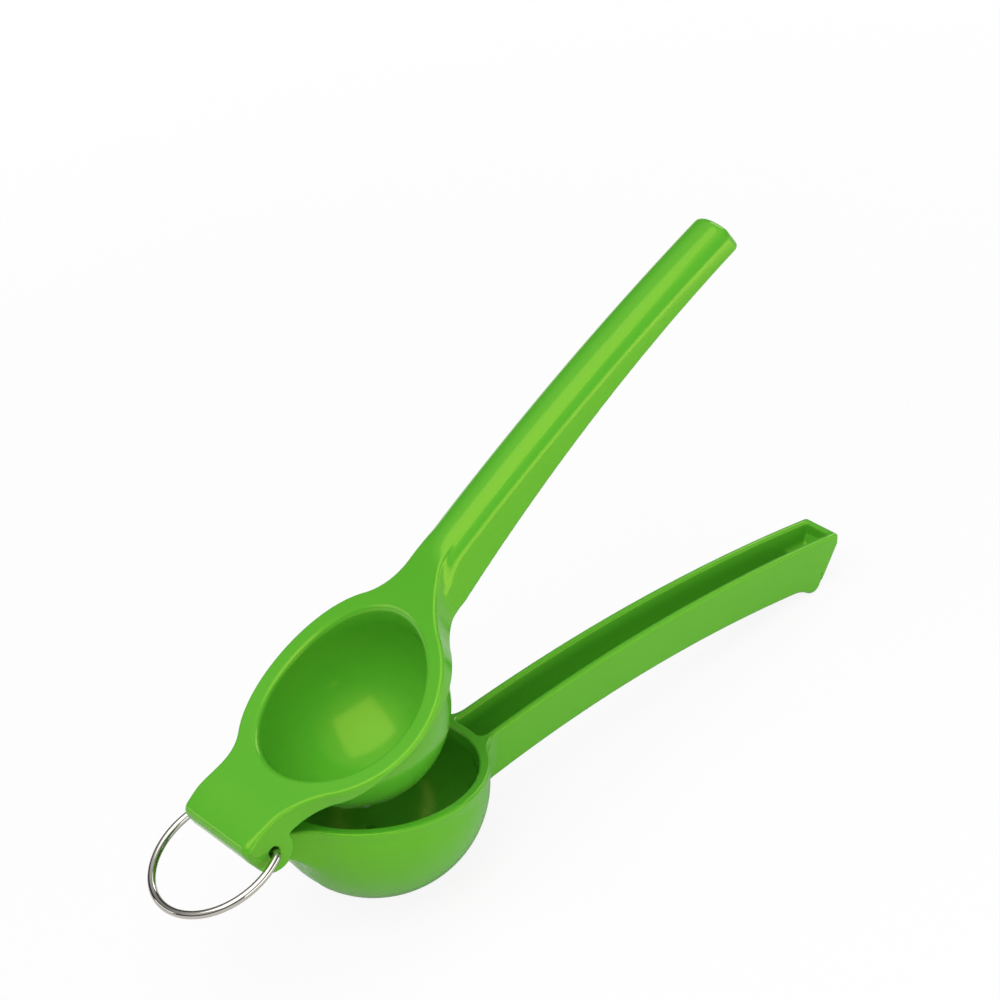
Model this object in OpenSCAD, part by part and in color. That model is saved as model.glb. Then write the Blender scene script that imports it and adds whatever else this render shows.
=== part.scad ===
// Hand-held lever squeezer for citrus halves: two enamelled cast arms on a hinge pin, and a wire hanging ring

/* [Bowl] */
// Outer radius of the rim
rim_r = 33; // [30:0.5:38]
// Thickness of the bowl's wall
bowl_wall = 3.3; // [2.4:0.1:4.2]
// How far the rim flares past the bowl's ball
rim_flare = 0.6; // [0.2:0.1:1.5]
// Height of the flared lip over the ball's centre
lip_h = 3.6; // [2:0.2:8]
// Rounding of the rim's outer edge
rim_round = 1.1; // [0.4:0.1:1.6]
// Number of drain slots in the bottom
slot_count = 8; // [4:1:8]
// Width of a drain slot
slot_w = 3; // [1.5:0.1:3.6]
// Distance from the bowl's axis to the middle of a slot's inner end
slot_in = 6.4; // [5.5:0.2:8]
// Length of a drain slot between the middles of its ends
slot_len = 8; // [4:0.5:10]

/* [Press] */
// Gap between the press dome and the inside of the bowl
press_gap = 0.8; // [0.6:0.1:2]
// How far the dome sits towards the handles from the bowl's axis
press_x = 0.8; // [0:0.1:0.8]
// Height of the dome's centre over the rim when closed
dome_lift = 1.4; // [0.5:0.1:3]
// Thickness of the dome near its flange
dome_wall = 1.6; // [1.2:0.1:3]
// Extra thickness of the dome at its lowest point
dome_sole = 1.2; // [0:0.1:3]
// How far the flange's edge lies inside the rim
flange_inset = 0; // [0:0.1:1.5]
// Height of the flange's underside over the rim when closed
flange_z = 2.2; // [1:0.1:2.8]
// Fillet between the flange and the dome
flange_fillet = 3.5; // [1:0.1:4]
// Height of the dished top at its lowest, over the rim
dish_z = 4; // [3.4:0.1:5.5]
// Distance of the dish's lowest point from the rim on the hinge side
dish_reach = 27; // [23:0.5:31]
// Radius of the dished top
dish_r = 108; // [100:1:125]

/* [Hinge] */
// Distance of the hinge axis from the rim
hinge_reach = 10.4; // [10:0.1:14]
// Width over the two ears
hinge_w = 32.2; // [30:0.1:36]
// Thickness of an ear
ear_t = 4.8; // [4:0.1:6]
// Radius of an ear's round end
ear_r = 6.4; // [5.8:0.1:6.6]
// Distance from the hinge axis to the front wall's outside
front_reach = 6.8; // [6.7:0.1:8.5]
// Height of the front wall's lower edge over the hinge axis
front_low = 2; // [1:0.1:3]
// Height at which an ear's front edge turns in to its round end
ear_turn = 4; // [3:0.1:6]
// Rounding of the two front corners
corner_r = 2.8; // [1:0.1:4]
// Radius of the lower arm's knuckle
knuckle_r = 4.7; // [4:0.1:4.9]
// Running gap round the knuckle
knuckle_gap = 0.4; // [0.3:0.05:0.6]
// Diameter of the hinge hole
hole_d = 3.4; // [2.8:0.1:4]
// Running clearance of the pin in its hole, on the radius
pin_clear = 0.05; // [0.02:0.01:0.1]
// How far the pin reaches into each ear
pin_seat = 1.7; // [1:0.1:2]
// Radius of the hinge end's crown
hump_r = 36; // [30:1:45]
// Distance of that crown from the hinge axis, towards the bowl
hump_x = 1.4; // [0.5:0.1:3]
// Fall of the tongue's underside from the knuckle to the bowl, in degrees
tongue_fall = 24; // [10:1:28]

/* [Handles] */
// Distance from the rim to the lower handle's end
handle_len = 134.2; // [110:0.1:160]
// How far the upper handle reaches past the lower one
top_over = 2; // [0:0.1:4]
// Height of the lower handle's crown over the rim
crown_z = 14.3; // [12:0.1:17]
// Distance of that crown from the end
crown_back = 10.2; // [0:0.1:20]
// Radius of the lower handle's arched edge
grip_r = 530; // [480:5:600]
// Half width of the lower handle at its root
root_w = 8.4; // [7.6:0.1:9.5]
// Half width of the lower handle at its end
tip_w = 7.4; // [6.8:0.1:8.2]
// Draft of the lower handle's sides, per millimetre of depth
low_draft = 0.11; // [0:0.01:0.2]
// Depth of the lower handle at its crown
channel_h = 15.5; // [12:0.1:17]
// Radius of the lower handle's belly
belly_r = 411; // [380:5:460]
// Thickness of the handles' walls
channel_wall = 2.3; // [1.8:0.1:3]
// Thickness of the channel's floor
floor_t = 2.4; // [1.8:0.1:4]
// Distance from the end of the lower handle to the front of the raised ledge in its channel
ledge_back = 10.5; // [7:0.5:20]
// Depth of the raised ledge below the channel's edge
ledge_depth = 7; // [4:0.5:9]
// Radius of the rounded heel
heel_r = 3; // [2:0.1:4]
// How far the heel drops below the belly's crown
heel_drop = 2.5; // [1.6:0.1:4]
// Lean of the lower handle's end, in degrees
end_lean = 27; // [15:1:35]
// Depth of the upper handle at its crown
top_h = 9; // [7.5:0.1:11]
// Radius of the upper handle's arched top
top_r = 828; // [750:1:950]
// Half width of the upper handle's top
top_w = 5.2; // [4:0.1:5.6]
// Half width of the upper handle 15 mm below its top
skirt_w = 8.6; // [8:0.1:9.5]
// Radius of the upper handle's bulged sides
bulge_r = 60; // [40:1:120]
// Thickness of the upper handle's top
top_t = 2.6; // [2:0.1:3.5]
// Rounding of the upper handle's end
end_round = 2.4; // [1:0.1:3]

/* [Ring] */
// Diameter of the ring's wire
wire_d = 2.35; // [1.8:0.05:2.6]
// Radius of the ring to the middle of its wire
ring_r = 20; // [19:0.5:26]
// Distance from the hinge axis to the ring's centre
ring_c = 9.7; // [8.5:0.1:12]
// Radius of the bend at each end of the wire
bend_r = 2.2; // [1.6:0.1:3]
// Swell of the wire where it is bent
wire_swell = 0.03; // [0.02:0.01:0.1]

/* [Pose] */
// Angle between the closed arm and the arm as it stands
open_angle = 29.9; // [5:0.1:90]
// Direction of the ring from the hinge, in degrees from the handles' side
ring_angle = 206; // [180:1:290]

/* [Hidden] */
$fn = 96;
// Facets of the large circles that the handles follow
fine = 1440;
// Reach of a cutting shape past everything it cuts
reach = 300;
// Gap left between the two arms when they are closed
closing_gap = 0.4;
// Gap between the end of the ring's wire and the pin
wire_gap = 0.3;
// Depth at which skirt_w is measured
skirt_depth = 15;
// Fillets in plan, at the hinge end and at the neck of the press, and at the bowl's two roots
front_fillet = 20;
neck_fillet = 28;
root_fillet = 6;
// Radius of the turn from the dish to the handle
neck_r = 23;
// Fillet in front of the heel
heel_fillet = 10;
// How far the neck stays inside the handle's flanks, and the fillets at the bowl's roots inside what they join
neck_tuck = 0.15;
fillet_tuck = 0.15;
// How far one arc of an outline passes the line or arc that it turns into
arc_lap = 0.05;
// Distances from the bowl's axis over which the flange's underside rises, on the hinge side
ramp_start = 22;
ramp_end = 6;
// Distance of the belly's crown, and of the upper handle's crown, behind the crown of the grip
belly_back = 15;
top_back = 12;
// Height of the upright lip of the lower handle's end, above the leaning part
end_lip = 3.6;

bowl_r = rim_r - rim_flare;
cup_r = bowl_r - bowl_wall;
ball_z = -lip_h;
dome_r = cup_r - press_gap;
recess_r = dome_r - dome_wall;
disc_r = rim_r - flange_inset;
hinge_x = -(rim_r + hinge_reach);
front_x = hinge_x - front_reach;
half_w = hinge_w / 2;
slot_y = half_w - ear_t;
wire_r = wire_d / 2;
end_x = rim_r + handle_len;
top_end = end_x + top_over;
crown_x = end_x - crown_back;
grip_c = [crown_x, crown_z - grip_r];
grip_start = crown_x - sqrt(grip_r * grip_r - pow(grip_r - crown_z, 2));
belly_z = crown_z - channel_h;
belly_c = [crown_x - belly_back, belly_z - belly_r];
top_z = crown_z + closing_gap + top_h;
top_c = [crown_x - top_back, top_z - top_r];
lean_z = crown_z - end_lip;
heel_z = belly_z - heel_drop + heel_r;
heel_c = [end_x - (lean_z - heel_z) * tan(end_lean) - heel_r / cos(end_lean), heel_z];
heel_void = meet(belly_c, belly_r - heel_fillet, heel_c, heel_r + heel_fillet, 1);
dish_c = [dish_reach - rim_r, dish_z + dish_r];
hump_back = dish_c[0] - hinge_x - hump_x;
hump_c = dish_c - [hump_back, sqrt(pow(dish_r + hump_r, 2) - hump_back * hump_back)];
hump_z = hump_c[1] + hump_r;
neck_c = meet(dish_c, dish_r + neck_r, top_c, top_r - neck_r, 1);
rest_tilt = asin((bowl_r - heel_r) / norm(heel_c - [0, ball_z])) + atan2(heel_c[1] - ball_z, heel_c[0]);

// Height of the lower handle's belly
function belly(x) = belly_c[1] + sqrt(belly_r * belly_r - pow(x - belly_c[0], 2));

// One of the two points where circles about a and b, of radii ra and rb, meet
function meet(a, ra, b, rb, side) =
    let (d = norm(b - a), u = (b - a) / d, s = (ra * ra - rb * rb + d * d) / (2 * d))
    a + s * u + side * sqrt(ra * ra - s * s) * [-u[1], u[0]];

// The point where a circle about a, of radius ra, touches the circle about b
function touch(a, ra, b) = a + (b - a) * ra / norm(b - a);

// The point where a line from p touches the circle about a, of radius ra
function graze(p, a, ra) =
    let (t = atan2(p[1] - a[1], p[0] - a[0]) + acos(ra / norm(p - a)))
    a + ra * [cos(t), sin(t)];

// Stands the squeezer on a table, on its bowl and its heel
module stand() {
    translate([0, 0, bowl_r]) rotate([0, rest_tilt, 0]) translate([0, 0, -ball_z]) children();
}

// Swings the upper arm open about the hinge
module swing() {
    translate([hinge_x, 0, 0]) rotate([0, -open_angle, 0]) translate([-hinge_x, 0, 0]) children();
}

// Gives a side view its width
module wide(w) {
    rotate([90, 0, 0]) linear_extrude(2 * w, center = true) children();
}

// A round bar along the hinge axis
module axle(r, l) {
    translate([hinge_x, 0, 0]) rotate([90, 0, 0]) cylinder(r = r, h = l, center = true);
}

// Sweeps a section along an arc in side view, from x0 to x1
module sweep(c, r, x0, x1) {
    a0 = asin((x0 - c[0]) / r);
    a1 = asin((x1 - c[0]) / r);
    translate([c[0], 0, c[1]]) rotate([90, 0, 0]) rotate([0, 0, 90 - a1])
        rotate_extrude(angle = a1 - a0, $fn = fine) translate([r, 0]) children();
}

// The part of a side view between two distances from the bowl's axis
module between(x0, x1) {
    intersection() {
        children();
        translate([x0, -2 * reach]) square([x1 - x0, 4 * reach]);
    }
}

// Solid bowl, with its flared lip and rounded edge
module bowl_outside() {
    rotate_extrude() {
        intersection() {
            translate([0, ball_z]) circle(bowl_r);
            translate([0, ball_z - bowl_r]) square(bowl_r);
        }
        polygon([[0, ball_z], [bowl_r, ball_z], [rim_r, -rim_round], [rim_r - rim_round, 0], [0, 0]]);
        translate([rim_r - rim_round, -rim_round]) circle(rim_round, $fn = 32);
    }
}

// Hollow of the bowl
module bowl_inside() {
    rotate_extrude() {
        intersection() {
            translate([0, ball_z]) circle(cup_r);
            translate([0, ball_z - cup_r]) square(cup_r);
        }
        polygon([[0, ball_z], [cup_r, ball_z], [rim_r - bowl_wall, 0], [rim_r - bowl_wall, crown_z], [0, crown_z]]);
    }
}

// Ring of drain slots through the bottom of the bowl
module drain_slots() {
    for (i = [0 : slot_count - 1]) rotate([0, 0, (i + 0.5) * 360 / slot_count])
        translate([0, 0, ball_z - bowl_r - 1]) linear_extrude(bowl_r / 2) {
            translate([slot_in, -slot_w / 2]) square([slot_len, slot_w]);
            translate([slot_in, 0]) circle(slot_w / 2);
            translate([slot_in + slot_len, 0]) circle(slot_w / 2);
        }
}

// Fillets where two flanks, w from the middle and drafted, meet the bowl on the side that dir points to
module root_fillets(w, draft, dir) {
    r = bowl_r - fillet_tuck;
    f = w - fillet_tuck;
    c = [sqrt(pow(r + root_fillet, 2) - pow(f + root_fillet, 2)), f + root_fillet];
    foot = touch([0, 0], r, c);
    arc = 100;
    for (s = [0, 1]) mirror([0, s, 0]) translate([0, 0, ball_z]) rotate([-90 - atan(draft), 0, 0])
        rotate([0, 0, dir - arc / 2]) rotate_extrude(angle = arc) difference() {
            polygon([foot, [c[0], f], [c[0], f - 1], [cup_r, f - 1], foot * cup_r / r]);
            translate(c) circle(root_fillet);
        }
}

// Side view of the tongue that runs from the bowl to the knuckle
module tongue_side() {
    start = [hinge_x, 0] - knuckle_r * [sin(tongue_fall), cos(tongue_fall)];
    inner = -cup_r;
    translate([hinge_x, 0]) circle(knuckle_r);
    polygon([[hinge_x, 0], start, [inner, start[1] - (inner - start[0]) * tan(tongue_fall)], [inner, 0]]);
}

// Tongue and knuckle, which fit between the ears
module tongue() {
    w = slot_y - knuckle_gap;
    wide(w) tongue_side();
    intersection() {
        wide(reach / 4) tongue_side();
        root_fillets(w, 0, 180);
    }
}

// Side view of everything below the lower handle's arched edge
module below_grip(lift) {
    translate(grip_c) circle(grip_r + lift, $fn = fine);
}

// Side view of the lower handle, with its leaning end and rounded heel
module low_handle_side() {
    lean = [cos(end_lean), -sin(end_lean)];
    on_belly = touch(belly_c, belly_r, heel_void);
    on_heel = touch(heel_c, heel_r, heel_void);
    intersection() {
        union() {
            below_grip(0);
            translate([0, -reach]) square([grip_start + 1, reach]);
        }
        difference() {
            union() {
                polygon([[0, reach], [end_x, reach], [end_x, lean_z], heel_c + heel_r * lean, heel_c,
                         on_heel, on_belly, [0, -reach]]);
                translate(heel_c) circle(heel_r);
            }
            between(-reach, on_belly[0]) translate(belly_c) circle(belly_r, $fn = fine);
            translate(heel_void) circle(heel_fillet + arc_lap);
        }
    }
}

// Space between the lower handle's two drafted sides, inset from them
module low_handle_flanks(inset) {
    root_x = grip_start + 8;
    taper = atan((root_w - tip_w) / (end_x - root_x));
    over = 8;
    under = 32;
    w = root_w - inset;
    intersection_for (s = [0, 1]) mirror([0, s, 0])
        translate([root_x, 0, 0]) rotate([0, 0, -taper]) translate([-root_x, 0, 0])
            sweep(grip_c, grip_r, 0, end_x + over)
                polygon([[over, w + low_draft * over], [-under, w - low_draft * under], [-under, -reach / 4],
                         [over, -reach / 4]]);
}

// Outside of the lower handle and its fillets into the bowl
module low_handle_outside() {
    intersection() {
        wide(reach / 4) between(cup_r / 2, end_x) low_handle_side();
        low_handle_flanks(0);
    }
    intersection() {
        wide(reach / 4) polygon([[cup_r - 3, 0], [grip_start, 0], [grip_start, belly(grip_start)],
                                 [cup_r - 3, belly(cup_r - 3)]]);
        root_fillets(root_w - low_draft * lip_h, low_draft, 0);
    }
}

// Channel of the lower handle, with the raised ledge left standing at its end
module low_handle_channel() {
    ledge_x = end_x - ledge_back;
    ledge_z = crown_z - ledge_depth;
    wall_x = end_x - channel_wall;
    intersection() {
        wide(reach / 4) difference() {
            union() {
                between(cup_r, ledge_x) translate([0, -reach]) square([end_x, 2 * reach]);
                polygon([[ledge_x - 1, ledge_z], [wall_x - (lean_z - ledge_z) * tan(end_lean), ledge_z],
                         [wall_x, lean_z], [wall_x, reach], [ledge_x - 1, reach]]);
            }
            translate(belly_c) circle(belly_r + floor_t, $fn = fine);
        }
        low_handle_flanks(channel_wall);
    }
}

// Bowl, tongue and channelled handle, one casting
module lower_arm() {
    color("limegreen") stand() difference() {
        union() {
            difference() {
                low_handle_outside();
                low_handle_channel();
            }
            bowl_outside();
            tongue();
        }
        bowl_inside();
        drain_slots();
        axle(hole_d / 2, hinge_w);
    }
}

// Side view of the hinge end, up to the start of the neck
module below_hinge_end(neck_start) {
    on_dish = touch(hump_c, hump_r, dish_c);
    front = [front_x, hump_c[1] + sqrt(hump_r * hump_r - pow(front_x - hump_c[0], 2))];
    polygon([[front_x, -reach], front, on_dish, neck_start + [-0.5, 0.1], neck_start - [0.5, reach]]);
    between(front_x, on_dish[0]) translate(hump_c) circle(hump_r, $fn = fine);
}

// Side view of the neck's turn into the handle
module below_neck(start, end) {
    translate(neck_c) circle(neck_r + arc_lap);
    polygon([start - [1, reach], start - [1, 1], end - [0, 1], [end[0], top_z + 1], [top_end, top_z + 1],
             [top_end, -reach]]);
}

// Side view of the handle's arched top, with its rounded end
module below_arch() {
    tip = [top_end, top_c[1] + sqrt(top_r * top_r - pow(top_end - top_c[0], 2))];
    between(0, top_end - end_round) translate(top_c) circle(top_r, $fn = fine);
    polygon([[top_end - end_round - 1, -reach], tip - [end_round + 1, end_round], tip - [end_round, 0],
             tip - [0, end_round], [top_end, -reach]]);
    translate(tip - [end_round, end_round]) circle(end_round);
}

// Side view of everything below the upper arm's top: hinge crown, dish, neck and arched handle
module below_top() {
    start = touch(dish_c, dish_r, neck_c);
    end = touch(top_c, top_r, neck_c);
    difference() {
        union() {
            below_hinge_end(start);
            intersection() {
                below_arch();
                below_neck(start, end);
            }
        }
        translate(dish_c) circle(dish_r + arc_lap, $fn = fine);
    }
}

// Side view of what lies below the upper arm when it is closed
module below_press() {
    on_grip = grip_start + end_x / 8;
    polygon([[-reach, -reach], [-reach, front_low], [hinge_x, front_low], [hinge_x, closing_gap],
             [-ramp_start, closing_gap], [-ramp_end, flange_z], [on_grip, flange_z], [on_grip, -reach]]);
    below_grip(closing_gap);
}

// Plan of everything inside the hinge end's two rounded corners
module inside_corners() {
    corner = [front_x + corner_r, half_w - corner_r];
    translate([corner[0], -reach]) square(2 * reach);
    translate([-reach, -corner[1]]) square([2 * reach, 2 * corner[1]]);
    for (s = [-1, 1]) translate([corner[0], s * corner[1]]) circle(corner_r + arc_lap);
}

// Plan of the press: hinge end, flange round the dome, and neck
module press_plan() {
    neck_w = top_w - neck_tuck;
    front = [press_x - sqrt(pow(disc_r + front_fillet, 2) - pow(half_w + front_fillet, 2)), half_w + front_fillet];
    neck = [press_x + sqrt(pow(disc_r + neck_fillet, 2) - pow(neck_w + neck_fillet, 2)), neck_w + neck_fillet];
    middle = [press_x, 0];
    front_foot = touch(middle, disc_r, front);
    neck_foot = touch(middle, disc_r, neck);
    difference() {
        union() {
            translate(middle) circle(disc_r);
            intersection() {
                inside_corners();
                for (s = [0, 1]) mirror([0, s])
                    polygon([[front_x, -1], [front_x, half_w], [front[0], half_w], front_foot, middle, neck_foot,
                             [neck[0], neck_w], [neck[0], -1]]);
            }
        }
        for (s = [-1, 1]) {
            translate([front[0], s * front[1]]) circle(front_fillet + arc_lap);
            translate([neck[0], s * neck[1]]) circle(neck_fillet + arc_lap);
        }
    }
}

// Section of the upper handle: two bulged sides that spread downwards
module top_handle_section() {
    a = [0, top_w];
    b = [-skirt_depth, skirt_w];
    chord = b - a;
    inward = [-chord[1], chord[0]] / norm(chord);
    c = (a + b) / 2 + inward * sqrt(bulge_r * bulge_r - pow(norm(chord) / 2, 2));
    intersection() {
        translate(c) circle(bulge_r, $fn = fine);
        translate([c[0], -c[1]]) circle(bulge_r, $fn = fine);
        translate([-1.6 * skirt_depth, -reach]) square([1.8 * skirt_depth, 2 * reach]);
    }
}

// Hollow under the upper handle
module top_handle_hollow() {
    slope = (skirt_w - top_w) / skirt_depth;
    foot = 1.6 * skirt_depth;
    w = top_w - channel_wall;
    intersection() {
        sweep(top_c, top_r, disc_r + press_x + channel_wall, top_end - end_round - channel_wall / 2)
            polygon([[0, w], [-foot, w + slope * foot], [-foot, -w - slope * foot], [0, -w]]);
        translate([0, 0, -top_t]) wide(reach / 4) below_top();
    }
}

// Press dome, with the fillet under its flange
module dome() {
    d = flange_z - flange_fillet - dome_lift;
    bead = sqrt(pow(dome_r + flange_fillet, 2) - d * d);
    translate([press_x, 0, dome_lift]) sphere(dome_r);
    translate([press_x, 0, 0]) rotate_extrude() difference() {
        translate([0, dome_lift + d * dome_r / (dome_r + flange_fillet)])
            square([bead, flange_z + 0.5 - dome_lift - d * dome_r / (dome_r + flange_fillet)]);
        translate([bead, dome_lift + d]) circle(flange_fillet, $fn = 48);
    }
}

// Side view of an ear that takes the pin
module ear_side() {
    corner = [front_x, ear_turn];
    foot = graze(corner, [hinge_x, 0], ear_r);
    ahead = corner + (corner - foot) / norm(corner - foot);
    translate([hinge_x, 0]) circle(ear_r);
    polygon([ahead, [ahead[0], hump_z], [hinge_x + ear_r, hump_z], [hinge_x + ear_r, 0], [hinge_x, 0], foot]);
}

// Space under the press when it is closed, all but the two ears
module under_press() {
    difference() {
        wide(reach / 2) below_press();
        for (s = [-1, 1]) translate([0, s * half_w, 0]) wide(ear_t) ear_side();
    }
}

// Press and handle, one casting
module upper_arm() {
    color("limegreen") stand() swing() difference() {
        union() {
            difference() {
                intersection() {
                    wide(reach / 4) below_top();
                    union() {
                        translate([0, 0, -reach / 2]) linear_extrude(reach) press_plan();
                        sweep(top_c, top_r, disc_r + press_x, top_end + 4) top_handle_section();
                    }
                }
                under_press();
            }
            intersection() {
                dome();
                wide(reach) below_top();
            }
        }
        translate([press_x, 0, dome_lift + dome_sole]) sphere(recess_r);
        top_handle_hollow();
        axle(knuckle_r + knuckle_gap, 2 * slot_y);
        axle(hole_d / 2, 2 * hinge_w);
    }
}

// Steel pin, pressed into the knuckle and running in the ears
module hinge_pin() {
    color("silver") stand() axle(hole_d / 2 - pin_clear, 2 * (slot_y + pin_seat));
}

// Wire ring whose turned-in ends sit in the ears
module hanging_ring() {
    bend_y = sqrt(pow(ring_r - bend_r, 2) - pow(ring_c - bend_r, 2));
    turn = atan2(bend_y, bend_r - ring_c);
    wire_end = slot_y + pin_seat + wire_gap;
    color("gainsboro") stand() translate([hinge_x, 0, 0]) rotate([0, -ring_angle, 0]) {
        translate([ring_c, 0, 0]) rotate([0, 0, -turn])
            rotate_extrude(angle = 2 * turn) translate([ring_r, 0]) circle(wire_r, $fn = 32);
        for (s = [0, 1]) mirror([0, s, 0]) {
            translate([bend_r, bend_y, 0]) for (a = [turn, 180])
                rotate([0, 0, a]) translate([bend_r, 0, 0]) sphere(wire_r + wire_swell, $fn = 32);
            translate([bend_r, bend_y, 0]) rotate([0, 0, turn])
                rotate_extrude(angle = 180 - turn) translate([bend_r, 0]) circle(wire_r, $fn = 32);
            translate([0, wire_end, 0]) rotate([-90, 0, 0]) cylinder(r = wire_r, h = bend_y - wire_end, $fn = 32);
        }
    }
}

lower_arm();
upper_arm();
hinge_pin();
hanging_ring();
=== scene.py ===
"""Looks of a hand-held citrus squeezer: two enamelled castings, a steel hinge pin and a wire ring."""

import math

import bpy
import numpy as np
from mathutils import Matrix, Vector


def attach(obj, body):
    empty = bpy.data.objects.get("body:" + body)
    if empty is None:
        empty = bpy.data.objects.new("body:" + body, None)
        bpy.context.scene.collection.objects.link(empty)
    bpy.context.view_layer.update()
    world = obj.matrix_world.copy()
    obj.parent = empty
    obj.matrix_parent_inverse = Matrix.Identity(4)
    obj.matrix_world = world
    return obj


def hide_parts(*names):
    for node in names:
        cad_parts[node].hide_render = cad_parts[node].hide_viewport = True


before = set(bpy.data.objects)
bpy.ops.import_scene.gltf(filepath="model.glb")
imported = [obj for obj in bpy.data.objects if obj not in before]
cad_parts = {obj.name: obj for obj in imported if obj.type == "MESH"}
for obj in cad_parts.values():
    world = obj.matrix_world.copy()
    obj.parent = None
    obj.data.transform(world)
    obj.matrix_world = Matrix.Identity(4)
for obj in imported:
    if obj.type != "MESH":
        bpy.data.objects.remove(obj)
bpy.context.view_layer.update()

MM = 0.001

# Sizes in millimetres, with the press closed: rim plane at z = 0, bowl axis at x = 0, handles along +X

RIM_R = 33.0
BOWL_WALL = 3.3
RIM_FLARE = 0.6
LIP_H = 3.6
BOWL_R = RIM_R - RIM_FLARE
CUP_R = BOWL_R - BOWL_WALL
BALL_Z = -LIP_H
SLOT_COUNT = 8
SLOT_W = 3.0
SLOT_IN = 6.4
SLOT_LEN = 8.0
ROOT_FILLET = 6.0

HINGE_X = -(RIM_R + 10.4)
FRONT_X = HINGE_X - 6.8
HALF_W = 16.1
SLOT_Y = HALF_W - 4.8
EAR_R = 6.4
EAR_TURN = 0.8
FRONT_LOW = 2.0
FRONT_RISE = (HINGE_X - 5.0, HINGE_X - 1.0)
CORNER_R = 2.8
KNUCKLE_R = 4.7
KNUCKLE_GAP = 0.4
HOLE_R = 1.7
TONGUE_FALL = math.radians(24)

END_X = RIM_R + 134.2
TOP_END = END_X + 2.0
CROWN_X = END_X - 10.2
CROWN_Z = 14.3
CLOSING_GAP = 0.4
GRIP_R = 530.0
GRIP_C = (CROWN_X, CROWN_Z - GRIP_R)
ROOT_X = RIM_R + 12.0
ROOT_W = 8.4
TIP_W = 7.4
LOW_DRAFT = 0.11
CHANNEL_WALL = 2.3
FLOOR_T = 2.4
LEDGE_X = END_X - 10.5
LEDGE_Z = CROWN_Z - 7.0
LEAN = math.radians(27)
LEAN_Z = CROWN_Z - 3.6
BELLY_R = 411.0
BELLY_Z = CROWN_Z - 15.5
BELLY_C = (CROWN_X - 15.0, BELLY_Z - BELLY_R)
HEEL_R = 3.0
HEEL_FILLET = 10.0
HEEL_Z = BELLY_Z - 2.5 + HEEL_R
HEEL_C = (END_X - (LEAN_Z - HEEL_Z) * math.tan(LEAN) - HEEL_R / math.cos(LEAN), HEEL_Z)

PRESS_X = 0.8
DOME_R = CUP_R - 0.8
DOME_Z = 1.4
RECESS_R = DOME_R - 1.6
RECESS_Z = DOME_Z + 1.2
DISC_R = RIM_R
FLANGE_Z = 2.2
FLANGE_FILLET = 3.5
RAMP = (-22.0, -6.0)
FRONT_FILLET = 20.0
NECK_FILLET = 28.0
DISH_R = 108.0
DISH_C = (27.0 - RIM_R, 4.0 + DISH_R)
HUMP_R = 36.0
HUMP_X = HINGE_X + 1.4
HUMP_C = (HUMP_X, DISH_C[1] - math.sqrt((DISH_R + HUMP_R) ** 2 - (DISH_C[0] - HUMP_X) ** 2))
NECK_R = 23.0
TOP_R = 828.0
TOP_C = (CROWN_X - 12.0, CROWN_Z + CLOSING_GAP + 9.0 - TOP_R)
NECK_W = 5.05
SKIRT_W = 8.6
SKIRT_DEPTH = 15.0
BULGE = 0.5
TOP_T = 2.6
END_ROUND = 2.4

WIRE_R = 1.175
RING_R = 20.0
RING_C = 9.7
BEND_R = 2.2
WIRE_END = SLOT_Y + 2.0
BLUNT = 0.6
END_STEPS = 4
BEND_STEPS = 14
RING_STEPS = 80
ROUND_STEPS = 24

OPEN_ANGLE = math.radians(29.9)
RING_ANGLE = math.radians(206)
HEEL_DROP = HEEL_C[1] - BALL_Z
HEEL_AWAY = math.hypot(HEEL_C[0], HEEL_DROP)
REST_TILT = math.asin((BOWL_R - HEEL_R) / HEEL_AWAY) + math.atan2(HEEL_DROP, HEEL_C[0])

# Crown of the upper handle, and how soft the enamel leaves the edges of the press

SHOULDER_W = 6.1
CROWN_R = 9.6
CROWN_REACH = 0.8 * CROWN_R
HANDLE_START = 0.8 * DISC_R
NECK_RUN = (DISC_R + 9.0, DISC_R + 20.0)
NECK_CREASE = 1.5
HANDLE_SEAM = 0.2
TOP_SEAM = 0.15
EDGE = 1.1
HANDLE_EDGE = 1.6
END_CORNER = 2.5
THIN_EDGE = 0.8
EAR_FILLET = 0.8
FRONT_EDGE = 2.2
FRONT_RUN = (FRONT_X + 2.0, FRONT_X + 9.0)
RECESS_EDGE = 1.4
RECESS_FLARE = 0.02
HOLLOW_CORNER = 0.8
INNER_EDGE = 0.6
GAP_EDGE = 0.4
HOLE_EDGE = 0.35

# How soft the enamel leaves the edges of the bowl and its handle

LOW_EDGE = 1.4
LOW_END_EDGE = 1.0
RIM_EDGE = 1.0
CHANNEL_CORNER = 1.6
CHANNEL_ROOT = 2.0
CHANNEL_EDGE = 0.9
KNUCKLE_EDGE = 0.5
KNUCKLE_FILLET = 1.0
SLOT_EDGE = 0.5

# Mesh of the castings' skin

SKIN_STEP = 0.55
SKIN_MARGIN = 2.0
SLOPE_STEP = 0.02
LINE_STEP = 0.01
LEAST_SLOPE = 0.2
SKIN_ROUNDS = 3
EVEN_ROUNDS = 2


# Places

def standing(p):
    """From the bowl's own frame to the table's, in millimetres."""
    c, s = math.cos(REST_TILT), math.sin(REST_TILT)
    x, z = p[..., 0], p[..., 2] - BALL_Z
    return np.stack([x * c + z * s, p[..., 1], z * c - x * s + BOWL_R], -1)


def turned(p, angle):
    """Turned about the hinge, handles upwards."""
    c, s = math.cos(angle), math.sin(angle)
    x, z = p[..., 0] - HINGE_X, p[..., 2]
    return np.stack([x * c - z * s + HINGE_X, p[..., 1], x * s + z * c], -1)


def to_table(p):
    """A point of the bowl's frame, in metres of the scene."""
    return Vector(standing(np.array(p, float)) * MM)


# Outlines in side view and in plan

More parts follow.
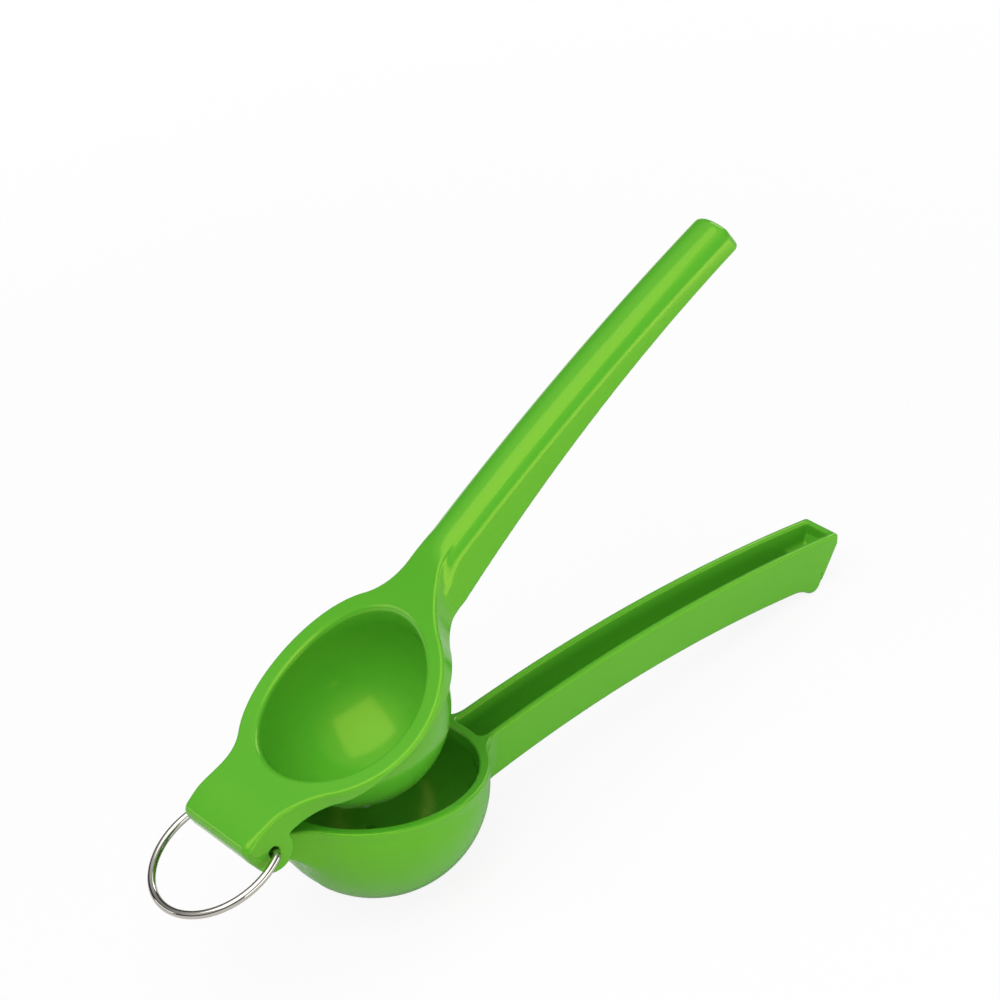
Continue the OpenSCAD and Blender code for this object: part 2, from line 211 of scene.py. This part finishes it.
def meet(a, ra, b, rb):
    """A point where circles about a and b meet."""
    a, b = np.array(a), np.array(b)
    d = np.linalg.norm(b - a)
    u = (b - a) / d
    s = (ra * ra - rb * rb + d * d) / (2 * d)
    return a + s * u + math.sqrt(ra * ra - s * s) * np.array([-u[1], u[0]])


def touch(a, ra, b):
    """Where a circle about a, of radius ra, touches one about b."""
    a, b = np.array(a), np.array(b)
    return a + (b - a) * ra / np.linalg.norm(b - a)


def arc(x, c, r, side):
    """Height of a circle over x: its upper half with side 1, its lower half with side -1."""
    return c[1] + side * np.sqrt(np.maximum(r * r - (x - c[0]) ** 2, 0.0))


def eased(x, start, end):
    """Soft step from 0 at start to 1 at end."""
    t = np.clip((x - start) / (end - start), 0, 1)
    return t * t * (3 - 2 * t)


def between(first, second, share):
    """A value that goes from the first to the second."""
    return first + (second - first) * share


NECK_C = meet(DISH_C, DISH_R + NECK_R, TOP_C, TOP_R - NECK_R)
HEEL_VOID = meet(BELLY_C, BELLY_R - HEEL_FILLET, HEEL_C, HEEL_R + HEEL_FILLET)


def press_top(x):
    """Top of the press: hinge crown, dish, neck and arched handle."""
    hump_end = touch(HUMP_C, HUMP_R, DISH_C)[0]
    dish_end = touch(DISH_C, DISH_R, NECK_C)[0]
    neck_end = touch(TOP_C, TOP_R, NECK_C)[0]
    arcs = [arc(x, HUMP_C, HUMP_R, 1), arc(x, DISH_C, DISH_R, -1), arc(x, NECK_C, NECK_R, 1)]
    return np.select([x < e for e in (hump_end, dish_end, neck_end)], arcs, arc(x, TOP_C, TOP_R, 1))


def grip_line(x):
    """Arched edge of the lower handle."""
    return arc(x, GRIP_C, GRIP_R, 1)


def press_bottom(x):
    """Underside of the press: hinge end, flange, and the handle's lower edge."""
    flange = between(CLOSING_GAP, FLANGE_Z, eased(x, *RAMP))
    front = between(FRONT_LOW, CLOSING_GAP, eased(x, *FRONT_RISE))
    return np.maximum(np.maximum(flange, front), grip_line(x) + CLOSING_GAP)


def press_half_width(x):
    """Half width of the press in plan: hinge end, flange round the dome, and neck."""
    front_y = HALF_W + FRONT_FILLET
    neck_y = NECK_W + NECK_FILLET
    front = (PRESS_X - math.sqrt((DISC_R + FRONT_FILLET) ** 2 - front_y ** 2), front_y)
    neck = (PRESS_X + math.sqrt((DISC_R + NECK_FILLET) ** 2 - neck_y ** 2), neck_y)
    middle = (PRESS_X, 0.0)
    ends = [front[0], touch(middle, DISC_R, front)[0], touch(middle, DISC_R, neck)[0], neck[0]]
    widths = [np.full_like(x, HALF_W), arc(x, front, FRONT_FILLET, -1), arc(x, middle, DISC_R, 1),
              arc(x, neck, NECK_FILLET, -1)]
    return np.select([x < e for e in ends], widths, NECK_W)


def low_bottom(x):
    """Underside of the lower handle: belly, hollow in front of the heel, and heel."""
    ends = [touch(BELLY_C, BELLY_R, HEEL_VOID)[0], touch(HEEL_C, HEEL_R, HEEL_VOID)[0]]
    arcs = [arc(x, BELLY_C, BELLY_R, 1), arc(x, HEEL_VOID, HEEL_FILLET, 1)]
    return np.select([x < e for e in ends], arcs, arc(x, HEEL_C, HEEL_R, -1))


def tongue_bottom(x):
    """Underside of the tongue between the knuckle and the bowl."""
    start = np.array([HINGE_X, 0.0]) - KNUCKLE_R * np.array([math.sin(TONGUE_FALL), math.cos(TONGUE_FALL)])
    return start[1] - (x - start[0]) * math.tan(TONGUE_FALL)


# Forms are written as distances: below zero inside the metal

def past(v, x, line):
    """Distance of v beyond a line over x."""
    slope = (line(x + LINE_STEP) - line(x - LINE_STEP)) / (2 * LINE_STEP)
    return (v - line(x)) / np.sqrt(1 + slope * slope)


def joined(a, b, r):
    """Two forms cast together with a fillet of radius r."""
    return np.maximum(r, np.minimum(a, b)) - np.sqrt(np.maximum(r - a, 0) ** 2 + np.maximum(r - b, 0) ** 2)


def shared(a, b, r):
    """What two forms share, with its edge rounded to radius r."""
    return np.minimum(-r, np.maximum(a, b)) + np.sqrt(np.maximum(r + a, 0) ** 2 + np.maximum(r + b, 0) ** 2)


def cut(a, b, r):
    """One form with another taken out of it."""
    return shared(a, -b, r)


def from_axis(x, z):
    """Distance from the hinge axis."""
    return np.sqrt((x - HINGE_X) ** 2 + z * z)


def press_flanks(x, y, z, inset):
    """The upper handle's bulged sides, which spread downwards."""
    slope = (SKIRT_W - SHOULDER_W) / SKIRT_DEPTH
    depth = arc(x, TOP_C, TOP_R, 1) - z
    t = depth / SKIRT_DEPTH
    width = SHOULDER_W - inset + slope * depth + 4 * BULGE * t * (1 - t)
    return (y - width) / math.sqrt(1 + slope * slope)


def crown_fall(y):
    """How far the crowned top of the upper handle falls away from its middle."""
    return CROWN_R - np.sqrt(CROWN_R ** 2 - np.minimum(y, CROWN_REACH) ** 2)


def ears(x, y, z):
    """The two ears that take the pin, down from the hinge end."""
    reach = FRONT_X - HINGE_X
    turn = math.atan2(EAR_TURN, reach) + math.acos(EAR_R / math.hypot(reach, EAR_TURN))
    front = (x - HINGE_X) * math.cos(turn) + z * math.sin(turn) - EAR_R
    block = np.maximum(np.maximum(front, x - HINGE_X - EAR_R), -z)
    return np.maximum(np.minimum(from_axis(x, z) - EAR_R, block), SLOT_Y - y)


def press_recess(x, y, z):
    """Recess of the press: a ball below its middle, a slightly flared wall above it."""
    rise = z - RECESS_Z
    rho = np.sqrt((x - PRESS_X) ** 2 + y * y)
    ball = np.sqrt(rho * rho + rise * rise) - RECESS_R
    return np.where(rise < 0, ball, rho - RECESS_R - RECESS_FLARE * rise * rise)


def press_hollow(x, y, z):
    """Hollow under the upper handle."""
    ends = np.maximum(DISC_R + PRESS_X + CHANNEL_WALL - x, x - TOP_END + END_ROUND + CHANNEL_WALL / 2)
    roof = past(z, x, lambda u: press_top(u) - TOP_T)
    void = shared(press_flanks(x, y, z, CHANNEL_WALL), roof, HOLLOW_CORNER)
    return shared(void, ends, HOLLOW_CORNER)


def press_casting(x, y, z):
    """Press, ears and upper handle in one casting."""
    y = np.abs(y)
    plan = shared(past(y, x, press_half_width), FRONT_X - x, CORNER_R)
    handle = shared(press_flanks(x, y, z, 0.0), x - TOP_END, END_CORNER)
    handle = shared(handle, past(z, x, press_top) + crown_fall(y), HANDLE_EDGE)
    handle = np.maximum(handle, HANDLE_START - x)
    on_handle = eased(x, *NECK_RUN)
    sides = joined(plan, handle, between(NECK_CREASE, HANDLE_SEAM, on_handle))
    under = joined(-past(z, x, press_bottom), ears(x, y, z), EAR_FILLET)
    sides = shared(sides, under, THIN_EDGE)
    ball = np.sqrt((x - PRESS_X) ** 2 + y * y + (z - DOME_Z) ** 2) - DOME_R
    solid = joined(sides, ball, FLANGE_FILLET)
    top = shared(past(z, x, press_top) + on_handle * crown_fall(y), x - TOP_END, END_ROUND)
    edge = between(FRONT_EDGE, EDGE, eased(x, *FRONT_RUN))
    body = shared(solid, top, between(edge, TOP_SEAM, on_handle))
    body = cut(body, press_recess(x, y, z), RECESS_EDGE)
    body = cut(body, press_hollow(x, y, z), INNER_EDGE)
    knuckle = np.maximum(from_axis(x, z) - KNUCKLE_R - KNUCKLE_GAP, y - SLOT_Y)
    body = cut(body, knuckle, GAP_EDGE)
    return cut(body, from_axis(x, z) - HOLE_R, HOLE_EDGE)


def bowl_side(x, y, z, ball_r, lip_r):
    """A ball that turns into a flared lip above its middle."""
    rho = np.sqrt(x * x + y * y)
    ball = np.sqrt(rho * rho + (z - BALL_Z) ** 2) - ball_r
    lip = rho - ball_r - (lip_r - ball_r) * (z - BALL_Z) / LIP_H
    return np.where(z < BALL_Z, ball, lip)


def drain_slots(x, y, z):
    """Ring of slots through the bottom of the bowl."""
    pitch = 2 * math.pi / SLOT_COUNT
    turn = np.mod(np.arctan2(y, x), pitch) - pitch / 2
    rho = np.sqrt(x * x + y * y)
    u, v = rho * np.cos(turn), rho * np.sin(turn)
    along = np.clip(u, SLOT_IN, SLOT_IN + SLOT_LEN)
    slot = np.sqrt((u - along) ** 2 + v * v) - SLOT_W / 2
    return np.maximum(slot, z - BALL_Z + BOWL_R / 2)


def low_flanks(x, y, z, inset):
    """The lower handle's tapered, drafted sides."""
    taper = (ROOT_W - TIP_W) / (END_X - ROOT_X)
    width = ROOT_W - inset - taper * (x - ROOT_X) - LOW_DRAFT * (grip_line(x) - z)
    return (y - width) / math.sqrt(1 + LOW_DRAFT ** 2)


def low_end(x, z, inset):
    """The lower handle's leaning end, with a short upright lip."""
    lean = (x - END_X + inset) * math.cos(LEAN) - (z - LEAN_Z) * math.sin(LEAN)
    return np.maximum(lean, x - END_X + inset)


def low_channel(x, y, z, bowl):
    """Channel of the lower handle, with the raised ledge at its end."""
    floor = -past(z, x, lambda u: arc(u, BELLY_C, BELLY_R, 1) + FLOOR_T)
    ledge = np.minimum(x - LEDGE_X, LEDGE_Z - z)
    void = shared(low_flanks(x, y, z, CHANNEL_WALL), np.maximum(floor, ledge), CHANNEL_CORNER)
    void = shared(void, low_end(x, z, CHANNEL_WALL), HOLLOW_CORNER)
    return shared(void, -bowl, CHANNEL_ROOT)


def bowl_casting(x, y, z):
    """Bowl, tongue and channelled handle in one casting."""
    fold, y = y, np.abs(y)
    bowl = bowl_side(x, y, z, BOWL_R, RIM_R)
    handle = shared(low_flanks(x, y, z, 0.0), -past(z, x, low_bottom), LOW_EDGE)
    handle = shared(handle, low_end(x, z, 0.0), LOW_END_EDGE)
    handle = np.maximum(handle, CUP_R / 2 - x)
    tongue = shared(y - SLOT_Y + KNUCKLE_GAP, -past(z, x, tongue_bottom), THIN_EDGE)
    tongue = np.maximum(np.maximum(tongue, HINGE_X - x), x + CUP_R / 2)
    body = joined(joined(bowl, handle, ROOT_FILLET), tongue, ROOT_FILLET)
    body = shared(body, past(z, x, lambda u: np.maximum(grip_line(u), 0.0)), RIM_EDGE)
    knuckle = shared(from_axis(x, z) - KNUCKLE_R, y - SLOT_Y + KNUCKLE_GAP, KNUCKLE_EDGE)
    body = joined(body, knuckle, KNUCKLE_FILLET)
    body = cut(body, bowl_side(x, y, z, CUP_R, RIM_R - BOWL_WALL), INNER_EDGE)
    body = cut(body, low_channel(x, y, z, bowl), CHANNEL_EDGE)
    body = cut(body, drain_slots(x, fold, z), SLOT_EDGE)
    return cut(body, from_axis(x, z) - HOLE_R, HOLE_EDGE)


# Skin of a casting as a mesh

CORNERS = np.array([(i, j, k) for i in (0, 1) for j in (0, 1) for k in (0, 1)])
CELL_EDGES = [(a, b) for a in range(8) for b in range(a) if np.abs(CORNERS[a] - CORNERS[b]).sum() == 1]


def crossing_cells(field, low, high, step):
    """Grid cells that the skin passes through, and the quads between them."""
    axes = [np.arange(l, h + step, step) for l, h in zip(low, high)]
    values = field(*np.ix_(*axes)).astype(np.float32)
    inside = values < 0
    ends = [slice(0, -1), slice(1, None)]
    count = sum(inside[ends[i], ends[j], ends[k]].astype(np.uint8) for i, j, k in CORNERS)
    cells = np.argwhere((count > 0) & (count < 8))
    number = np.full(count.shape, -1, np.int64)
    number[tuple(cells.T)] = np.arange(len(cells))
    quads = []
    for axis in range(3):
        a, b = (axis + 1) % 3, (axis + 2) % 3
        first = np.take(inside, range(inside.shape[axis] - 1), axis)
        last = np.take(inside, range(1, inside.shape[axis]), axis)
        edges = np.argwhere(first != last)
        leaving = first[tuple(edges.T)]
        ring = []
        for da, db in ((-1, -1), (0, -1), (0, 0), (-1, 0)):
            at = edges.copy()
            at[:, a] += da
            at[:, b] += db
            ring.append(number[tuple(at.T)])
        ring = np.stack(ring, 1)
        ring[~leaving] = ring[~leaving][:, ::-1]
        quads.append(ring)
    return axes, values, cells, np.concatenate(quads)


def crossing_points(axes, values, cells):
    """Middle of the places where the skin crosses a cell's edges."""
    origin = np.array([a[0] for a in axes])
    step = axes[0][1] - axes[0][0]
    at = [values[tuple((cells + c).T)] for c in CORNERS]
    total = np.zeros((len(cells), 3))
    hits = np.zeros(len(cells))
    for a, b in CELL_EDGES:
        crossed = (at[a] < 0) != (at[b] < 0)
        t = np.where(crossed, at[a] / np.where(crossed, at[a] - at[b], 1), 0)
        total += crossed[:, None] * (CORNERS[a] + t[:, None] * (CORNERS[b] - CORNERS[a]))
        hits += crossed
    return origin + step * (cells + total / hits[:, None])


def slope_at(field, p):
    """Value of a field and its steepest direction at points."""
    moves = SLOPE_STEP * np.eye(3)
    slope = np.stack([field(*(p + d).T) - field(*(p - d).T) for d in moves], 1) / (2 * SLOPE_STEP)
    return field(*p.T), slope


def on_skin(field, p):
    """Points moved straight on to the skin."""
    for _ in range(SKIN_ROUNDS):
        value, slope = slope_at(field, p)
        move = slope * (value / np.maximum((slope ** 2).sum(1), LEAST_SLOPE))[:, None]
        p = p - np.clip(move, -SKIN_STEP, SKIN_STEP)
    return p


def evened(p, quads):
    """Each point moved to the middle of the quads round it."""
    middle = p[quads].mean(1)
    uses = np.bincount(quads.ravel(), minlength=len(p))
    sums = [np.bincount(quads.ravel(), np.repeat(middle[:, i], 4), len(p)) for i in range(3)]
    return np.stack(sums, 1) / uses[:, None]


def casting(name, field, low, high, place):
    """A casting's skin as a smooth mesh object, put in its place."""
    axes, values, cells, quads = crossing_cells(field, low, high, SKIN_STEP)
    points = on_skin(field, crossing_points(axes, values, cells))
    for _ in range(EVEN_ROUNDS):
        points = on_skin(field, evened(points, quads))
    normals = slope_at(field, points)[1]
    normals = place(normals / np.linalg.norm(normals, axis=1)[:, None]) - place(np.zeros(3))
    return mesh_object(name, place(points) * MM, quads.tolist(), normals)


def mesh_object(name, points, faces, normals=None):
    """A smooth-shaded mesh object from points and faces."""
    mesh = bpy.data.meshes.new(name)
    mesh.from_pydata(points.tolist(), [], faces)
    mesh.shade_smooth()
    if normals is not None:
        mesh.normals_split_custom_set_from_vertices(normals.tolist())
    obj = bpy.data.objects.new(name, mesh)
    bpy.context.scene.collection.objects.link(obj)
    return obj


def make_bowl_arm():
    low = (FRONT_X, -RIM_R - SKIN_MARGIN, BALL_Z - BOWL_R - SKIN_MARGIN)
    high = (END_X + SKIN_MARGIN, RIM_R + SKIN_MARGIN, CROWN_Z + SKIN_MARGIN)
    return casting("bowl_and_handle", bowl_casting, low, high, standing)


def make_press_arm():
    low = (FRONT_X - SKIN_MARGIN, -DISC_R - SKIN_MARGIN, DOME_Z - DOME_R - SKIN_MARGIN)
    high = (TOP_END + SKIN_MARGIN, DISC_R + SKIN_MARGIN, TOP_C[1] + TOP_R + SKIN_MARGIN)
    return casting("press_and_handle", press_casting, low, high, lambda p: standing(turned(p, OPEN_ANGLE)))


# Wire ring

def ring_path():
    """Middle line of the wire in the ring's own plane, from one turned-in end to the other."""
    bend_y = math.sqrt((RING_R - BEND_R) ** 2 - (RING_C - BEND_R) ** 2)
    turn = math.atan2(bend_y, BEND_R - RING_C)
    inward = [(0.0, y) for y in np.linspace(WIRE_END, bend_y, END_STEPS)[:-1]]
    bend = [(BEND_R + BEND_R * math.cos(a), bend_y + BEND_R * math.sin(a))
            for a in np.linspace(math.pi, turn, BEND_STEPS)[:-1]]
    half = [(RING_C + RING_R * math.cos(a), RING_R * math.sin(a)) for a in np.linspace(turn, 0, RING_STEPS)]
    side = np.array(inward + bend + half)
    other = side[-2::-1] * (1, -1)
    return np.concatenate([side, other])


def make_ring():
    """Tube along the ring's path, with blunt rounded ends."""
    path = ring_path()
    along = np.gradient(path, axis=0)
    along /= np.linalg.norm(along, axis=1)[:, None]
    across = np.stack([-along[:, 1], along[:, 0]], 1)
    radius = np.full(len(path), WIRE_R)
    radius[[0, -1]] = BLUNT * WIRE_R
    angles = np.linspace(0, 2 * math.pi, ROUND_STEPS, endpoint=False)
    rows = []
    for p, c, r in zip(path, across, radius):
        xy = p + r * np.cos(angles)[:, None] * c
        rows.append(np.column_stack([xy, r * np.sin(angles)]))
    x, y, z = np.concatenate(rows).T
    c, s = math.cos(RING_ANGLE), math.sin(RING_ANGLE)
    points = standing(np.column_stack([HINGE_X + x * c - z * s, y, x * s + z * c])) * MM
    n = ROUND_STEPS
    quads = [(i * n + j, i * n + (j + 1) % n, (i + 1) * n + (j + 1) % n, (i + 1) * n + j)
             for i in range(len(path) - 1) for j in range(n)]
    last = (len(path) - 1) * n
    caps = [tuple(range(n))[::-1], tuple(range(last, last + n))]
    return mesh_object("wire_ring", points, quads + caps)


# Materials

class Sock:
    """A socket of a material's node tree that can be used in sums."""

    def __init__(self, tree, socket):
        self.tree = tree
        self.socket = socket

    def math(self, operation, a, b):
        return self.tree.node("ShaderNodeMath", {"operation": operation}, {0: a, 1: b}).out(0)

    def __add__(self, other):
        return self.math("ADD", self, other)

    def __radd__(self, other):
        return self.math("ADD", other, self)

    def __mul__(self, other):
        return self.math("MULTIPLY", self, other)

    def __rmul__(self, other):
        return self.math("MULTIPLY", other, self)


class Node:
    """One node, whose outputs are taken by name or number."""

    def __init__(self, tree, node):
        self.tree = tree
        self.node = node

    def out(self, key):
        return Sock(self.tree, self.node.outputs[key])


class Finish:
    """The nodes of a material or of the world."""

    def __init__(self, owner):
        self.owner = owner
        owner.use_nodes = True
        self.nodes = owner.node_tree.nodes
        self.links = owner.node_tree.links
        self.nodes.clear()

    def node(self, kind, settings=None, sockets=None):
        """Adds a node: its settings first, then the values or links of its sockets."""
        node = self.nodes.new(kind)
        for key, value in (settings or {}).items():
            setattr(node, key, value)
        for key, value in (sockets or {}).items():
            if isinstance(value, Sock):
                self.links.new(value.socket, node.inputs[key])
            else:
                node.inputs[key].default_value = value
        return Node(self, node)

    def surface(self, shader):
        kind = "World" if isinstance(self.owner, bpy.types.World) else "Material"
        self.node("ShaderNodeOutput" + kind, {}, {"Surface": shader})
        return self.owner

    def place(self):
        """The point on the piece, in metres."""
        return self.node("ShaderNodeTexCoord").out("Object")

    def noise(self, scale, detail=2.0):
        """Even noise from 0 to 1: scale is the count of its spots in a metre."""
        sockets = {"Vector": self.place(), "Scale": scale, "Detail": detail}
        return self.node("ShaderNodeTexNoise", {}, sockets).out(0)

    def soft_step(self, value, start, end):
        """Soft step from 0 at start to 1 at end."""
        step = self.node("ShaderNodeMapRange", {"interpolation_type": "SMOOTHSTEP"}, {
            "Value": value, "From Min": start, "From Max": end})
        return step.out(0)

    def colours(self, share, first, second):
        """A mix of two colours."""
        mix = self.node("ShaderNodeMix", {"data_type": "RGBA"}, {0: share, 6: first, 7: second})
        return mix.out(2)


def new_material(name):
    return Finish(bpy.data.materials.new(name))


def srgb(code):
    """A screen colour as linear light."""
    parts = [int(code[i:i + 2], 16) / 255 for i in (0, 2, 4)]
    return tuple(c / 12.92 if c <= 0.04045 else ((c + 0.055) / 1.055) ** 2.4 for c in parts) + (1.0,)


def grey(light):
    """A grey of some linear light."""
    return (light, light, light, 1.0)


def green_enamel():
    """Glossy lime-green enamel over a casting: faint orange peel and slow drifts of tone."""
    f = new_material("green_enamel")
    drift = f.noise(35.0)
    fleck = f.noise(900.0, 3.0)
    tone = f.colours(drift, srgb("54AC2A"), srgb("5CB430"))
    colour = f.colours(0.2 * fleck, tone, srgb("4A9A26"))
    peel = f.noise(700.0)
    bump = f.node("ShaderNodeBump", {}, {"Strength": 0.03, "Distance": 0.00004, "Height": peel})
    rough = 0.13 + 0.06 * f.noise(140.0, 3.0)
    shader = f.node("ShaderNodeBsdfPrincipled", {}, {
        "Base Color": colour, "Roughness": rough, "Normal": bump.out(0), "IOR": 1.5,
        "Specular IOR Level": 0.58, "Specular Tint": (1.0, 1.0, 0.15, 1.0)})
    return f.surface(shader.out(0))


def bright_wire():
    """Polished steel wire with fine drawing lines."""
    f = new_material("bright_wire")
    grain = f.noise(2400.0)
    tone = f.colours(f.noise(120.0), srgb("B8B4AC"), srgb("CCC8C0"))
    bump = f.node("ShaderNodeBump", {}, {"Strength": 0.05, "Distance": 0.00002, "Height": grain})
    rough = 0.04 + 0.06 * f.noise(300.0)
    shader = f.node("ShaderNodeBsdfPrincipled", {}, {
        "Base Color": tone, "Metallic": 1.0, "Roughness": rough, "Normal": bump.out(0)})
    return f.surface(shader.out(0))


def pin_steel():
    """Drawn steel of the hidden pin."""
    f = new_material("drawn_steel")
    tone = f.colours(f.noise(400.0), srgb("8E8F91"), srgb("A6A7A9"))
    rough = 0.30 + 0.15 * f.noise(900.0)
    shader = f.node("ShaderNodeBsdfPrincipled", {}, {
        "Base Color": tone, "Metallic": 1.0, "Roughness": rough})
    return f.surface(shader.out(0))


WHITE = grey(1.0)
PAPER_GLOW = 0.9
# Distances from the squeezer over which the painted shade in the floor's reflections gives way to white
# glow
REFLECTED_SHADE_REACH = (0.06, 0.35)
SHADOW_REACH = (0.25, 0.6)


def floor_paper():
    """Plain white paper: even white to the eye, with the squeezer's shadow kept; in reflections its white
    glow fades out near the squeezer, a painted shade under it.
    """
    f = new_material("floor_paper")
    path = f.node("ShaderNodeLightPath")
    reach = f.node("ShaderNodeVectorMath", {"operation": "LENGTH"}, {0: f.place()}).out("Value")
    # clear: share of white glow in reflections, none close to the squeezer: painted shade in the reflected
    # floor under it
    clear = f.soft_step(reach, *REFLECTED_SHADE_REACH)
    share = PAPER_GLOW + (1 - PAPER_GLOW) * f.soft_step(reach, *SHADOW_REACH)
    seen = path.out("Is Camera Ray") + clear * (path.out("Is Glossy Ray") + path.out("Is Transmission Ray"))
    tone = f.colours(f.noise(20.0), grey(0.78), grey(0.80))
    paper = f.node("ShaderNodeBsdfPrincipled", {}, {"Base Color": tone, "Roughness": 0.9})
    white = f.node("ShaderNodeEmission", {}, {"Color": WHITE, "Strength": 1.0})
    mix = f.node("ShaderNodeMixShader", {}, {0: share * seen, 1: paper.out(0), 2: white.out(0)})
    return f.surface(mix.out(0))


# Pieces

bowl_arm = make_bowl_arm()
press_arm = make_press_arm()
ring = make_ring()
enamel = green_enamel()
for piece, body, node, slot in ((bowl_arm, "bowl_body", "lower_arm", "green_enamel_bowl"),
                                (press_arm, "press_body", "upper_arm", "green_enamel_press"),
                                (ring, "ring_body", "hanging_ring", "polished_wire")):
    piece.data.materials.append(bright_wire() if piece is ring else enamel)
    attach(piece, body)
    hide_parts(node)
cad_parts["hinge_pin"].data.materials.clear()
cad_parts["hinge_pin"].data.materials.append(pin_steel())


# Camera at the photograph's place: direction, roll and lens fitted to the object's outline

def add_camera():
    """The photograph's camera, given in degrees, millimetres and pixels."""
    azimuth, elevation, roll = (math.radians(a) for a in (-34.88, 27.30, -4.61))
    shift_x, shift_y, distance = 35.30, 74.86, 954.49
    focal_px, image_px, sensor = 3440.0, 1000, 36.0
    back = Vector((math.sin(azimuth) * math.cos(elevation), -math.cos(azimuth) * math.cos(elevation),
                   math.sin(elevation)))
    level = Vector((math.cos(azimuth), math.sin(azimuth), 0))
    right = level * math.cos(roll) + back.cross(level) * math.sin(roll)
    up = back.cross(right)
    eye = right * shift_x + up * shift_y + back * distance
    origin = to_table((0, 0, 0))
    axes = [to_table(v) - origin for v in (right, up, back)]
    data = bpy.data.cameras.new("camera")
    data.sensor_fit = "HORIZONTAL"
    data.sensor_width = sensor
    data.lens = sensor * focal_px / image_px
    data.clip_start = 0.05
    camera = bpy.data.objects.new("camera", data)
    turn = Matrix([a.normalized() for a in axes]).transposed().to_4x4()
    camera.matrix_world = Matrix.Translation(to_table(eye)) @ turn
    bpy.context.scene.collection.objects.link(camera)
    bpy.context.scene.camera = camera


def add_lamp(name, place, aim, size, glow, turn=0.0):
    """A soft box that shines from one point towards another, turned by degrees: glow 1 looks white."""
    data = bpy.data.lights.new(name, "AREA")
    data.shape = "RECTANGLE"
    data.size, data.size_y = size
    data.energy = glow * math.pi * size[0] * size[1]
    lamp = bpy.data.objects.new(name, data)
    place, aim = Vector(place), Vector(aim)
    facing = (aim - place).to_track_quat("-Z", "Y").to_matrix().to_4x4()
    lamp.matrix_world = Matrix.Translation(place) @ facing @ Matrix.Rotation(math.radians(turn), 4, "Z")
    bpy.context.scene.collection.objects.link(lamp)


def add_floor():
    """A wide sheet of paper on the table."""
    half = 3.0
    points = np.array([(-half, -half, 0), (half, -half, 0), (half, half, 0), (-half, half, 0)])
    floor = mesh_object("floor", points, [(0, 1, 2, 3)])
    floor.data.materials.append(floor_paper())


SKY_LOW = 0.04
SKY_GLOW = 0.68
SKY_RISE = (0.4, 0.95)
HINGE_SIDE = (-0.71, -0.36, 0.60)
SIDE_GLOW = 0.45
SIDE_SPREAD = (0.3, 1.0)
SIDE_RISE = (0.15, 0.55)


def light_world():
    """Soft light from overhead and from the hinge's side, dark at the horizon; plain white to the eye."""
    world = bpy.data.worlds.new("studio")
    bpy.context.scene.world = world
    f = Finish(world)
    way = f.node("ShaderNodeTexCoord").out("Generated")
    height = f.node("ShaderNodeSeparateXYZ", {}, {0: way}).out("Z")
    side = f.node("ShaderNodeVectorMath", {"operation": "DOT_PRODUCT"}, {0: way, 1: HINGE_SIDE})
    lobe = f.soft_step(side.out("Value"), *SIDE_SPREAD) * f.soft_step(height, *SIDE_RISE)
    sky = SKY_LOW + SKY_GLOW * f.soft_step(height, *SKY_RISE) + SIDE_GLOW * lobe
    shown = f.colours(f.node("ShaderNodeLightPath").out("Is Camera Ray"), sky, WHITE)
    f.surface(f.node("ShaderNodeBackground", {}, {"Color": shown}).out(0))


add_camera()
add_floor()
light_world()
middle = to_table((40, 0, 30))
add_lamp("overhead", place=(-0.22, -0.14, 0.86), aim=middle, size=(0.98, 0.98), glow=1.68, turn=45)
add_lamp("front_strip", place=(0.17, -0.45, 0.10), aim=(0.07, 0.0, 0.09), size=(0.8, 0.14), glow=3.0)
add_lamp("back_right", place=(0.9, 0.35, 0.55), aim=middle, size=(0.5, 0.5), glow=2.5)
add_lamp("back_left", place=(-0.75, 0.7, 0.3), aim=middle, size=(0.5, 0.3), glow=1.6)
bpy.context.scene.view_settings.view_transform = "Standard"
